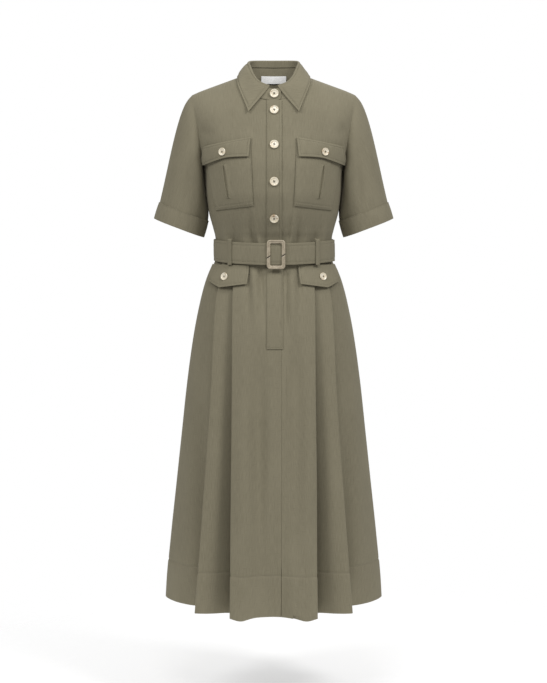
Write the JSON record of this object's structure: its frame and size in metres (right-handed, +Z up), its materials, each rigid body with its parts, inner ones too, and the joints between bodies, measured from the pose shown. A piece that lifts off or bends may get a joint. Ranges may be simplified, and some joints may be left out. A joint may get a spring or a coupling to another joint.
{
  "type": "shirt dress",
  "caption": "Short-sleeved shirt dress with a pointed collar, button front, flap pockets, a belted waist and a flared pleated midi skirt, filled out as worn.",
  "frame": {"origin": "middle of the neck at the height where the shoulder seams meet it, where the wearer's shoulders carry the dress", "axes": "+Z up, the front faces -Y, +X is the wearer's left"},
  "size_m": [0.5218, 0.4014, 1.189],
  "materials": {
    "khaki_cloth": "matte khaki twill with a faint slub",
    "label_satin": "woven satin, bare",
    "horn_button": "polished mottled ivory and brown",
    "beige_buckle": "satin beige horn effect"
  },
  "bodies": {
    "root": {"bodice_front_right": "khaki_cloth", "bodice_front_left": "khaki_cloth", "bodice_back": "khaki_cloth", "front_placket": "khaki_cloth", "collar_stand": "khaki_cloth", "collar": "khaki_cloth", "sleeve_right": "khaki_cloth", "sleeve_left": "khaki_cloth", "cuff_right": "khaki_cloth", "cuff_left": "khaki_cloth", "chest_pocket_right": "khaki_cloth", "chest_pocket_left": "khaki_cloth", "chest_flap_right": "khaki_cloth", "chest_flap_left": "khaki_cloth", "hip_flap_right": "khaki_cloth", "hip_flap_left": "khaki_cloth", "skirt_front_right": "khaki_cloth", "skirt_front_left": "khaki_cloth", "belt_loop_front_right": "khaki_cloth", "belt_loop_front_left": "khaki_cloth", "belt_loop_back_right": "khaki_cloth", "belt_loop_back_left": "khaki_cloth", "skirt_back": "khaki_cloth", "skirt_placket": "khaki_cloth", "belt": "khaki_cloth", "neck_label": "label_satin", "placket_button_1": "horn_button", "placket_button_2": "horn_button", "placket_button_3": "horn_button", "placket_button_4": "horn_button", "placket_button_5": "horn_button", "chest_button_right": "horn_button", "chest_button_left": "horn_button", "hip_button_right": "horn_button", "hip_button_left": "horn_button", "buckle": "beige_buckle"}
  },
  "joints": []
}
